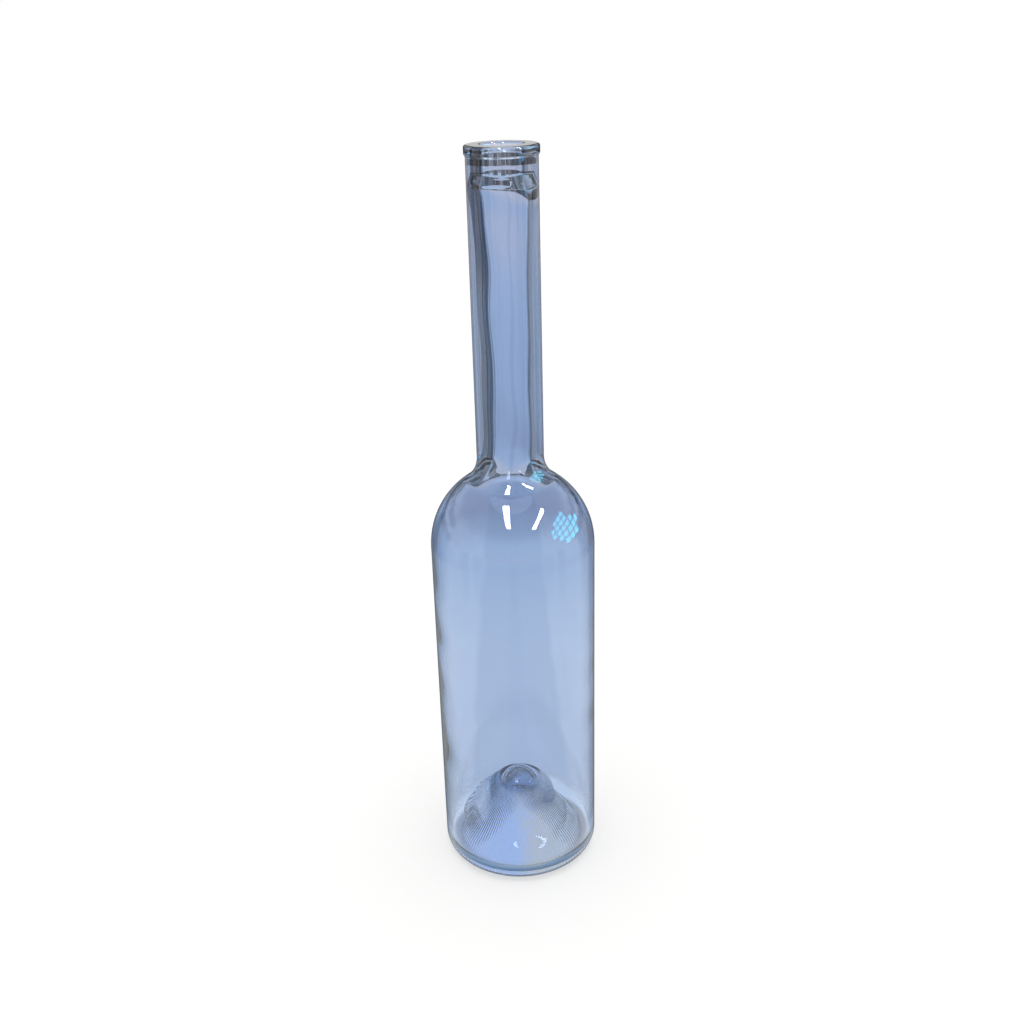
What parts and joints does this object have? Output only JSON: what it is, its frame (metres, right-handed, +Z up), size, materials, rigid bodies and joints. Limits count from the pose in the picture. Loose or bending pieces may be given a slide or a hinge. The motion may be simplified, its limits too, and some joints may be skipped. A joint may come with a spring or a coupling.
{
  "type": "long-neck glass bottle",
  "caption": "Slim clear glass spirits bottle with a long straight neck, a banded mouth, a ball shoulder and a ribbed push-up base, open and empty.",
  "frame": {"origin": "centre of the ring that the bottle stands on, on the table", "axes": "+Z up along the bottle's axis, from the base to the mouth; +X and +Y are any level pair, because the bottle is round"},
  "size_m": [0.069, 0.069, 0.313],
  "materials": {
    "glass": "clear moulded flint glass with a faint blue tint, fire-polished at the mouth"
  },
  "bodies": {
    "root": {"bottle": "glass"}
  },
  "joints": []
}
